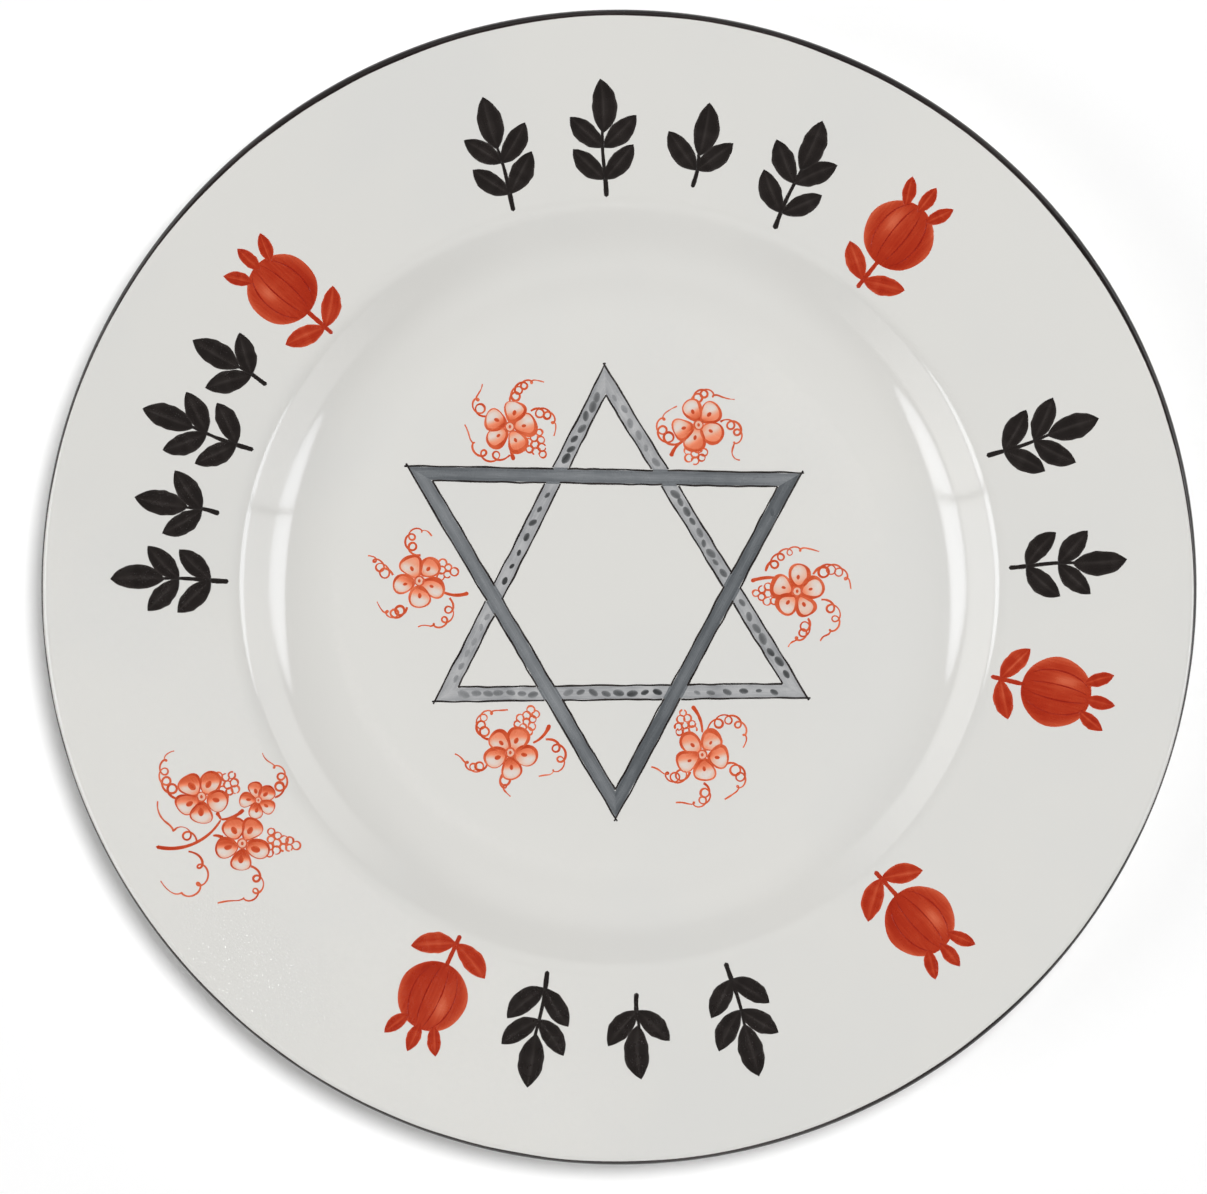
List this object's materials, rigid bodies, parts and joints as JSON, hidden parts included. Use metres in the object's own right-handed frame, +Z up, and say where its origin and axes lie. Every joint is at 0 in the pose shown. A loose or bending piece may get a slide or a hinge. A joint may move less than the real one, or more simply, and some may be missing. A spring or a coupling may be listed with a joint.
{
  "type": "havdalah plate",
  "caption": "Round porcelain plate with a sunken well, a wide sloping flange and a foot ring, painted with a six-pointed star, flower sprays and a border of leaves and pomegranates.",
  "frame": {"origin": "centre of the foot ring, on the surface the plate stands on", "axes": "+Z up, out of the well; +Y towards the top of the pale triangle; +X to the right of the face seen from above"},
  "size_m": [0.2552, 0.2552, 0.0238],
  "materials": {
    "biscuit": "matte unglazed porcelain",
    "glaze": "glossy clear glaze over white porcelain",
    "brown_enamel": "glossy brown-black line",
    "black_enamel": "glossy black enamel",
    "red_enamel": "glossy iron-red enamel",
    "slate_enamel": "glossy dark grey enamel",
    "grey_enamel": "glossy thin grey enamel"
  },
  "bodies": {
    "root": {"porcelain_body": "biscuit", "face_glaze": "glaze", "base_glaze": "glaze", "rim_line": "brown_enamel", "star_down_fill": "slate_enamel", "star_down_outline": "black_enamel", "star_up_fill": "grey_enamel", "star_up_outline": "black_enamel", "star_dabs": "slate_enamel", "flower_spray_1": "red_enamel", "flower_spray_2": "red_enamel", "flower_spray_3": "red_enamel", "flower_spray_4": "red_enamel", "flower_spray_5": "red_enamel", "flower_spray_6": "red_enamel", "rim_spray": "red_enamel", "pomegranate_1": "red_enamel", "pomegranate_2": "red_enamel", "pomegranate_3": "red_enamel", "pomegranate_4": "red_enamel", "pomegranate_5": "red_enamel", "leaf_sprig_1": "black_enamel", "leaf_sprig_2": "black_enamel", "leaf_sprig_3": "black_enamel", "leaf_sprig_4": "black_enamel", "leaf_sprig_5": "black_enamel", "leaf_sprig_6": "black_enamel", "leaf_sprig_7": "black_enamel", "leaf_sprig_8": "black_enamel", "leaf_sprig_9": "black_enamel", "leaf_sprig_10": "black_enamel", "leaf_sprig_11": "black_enamel", "leaf_sprig_12": "black_enamel", "leaf_sprig_13": "black_enamel"}
  },
  "joints": []
}
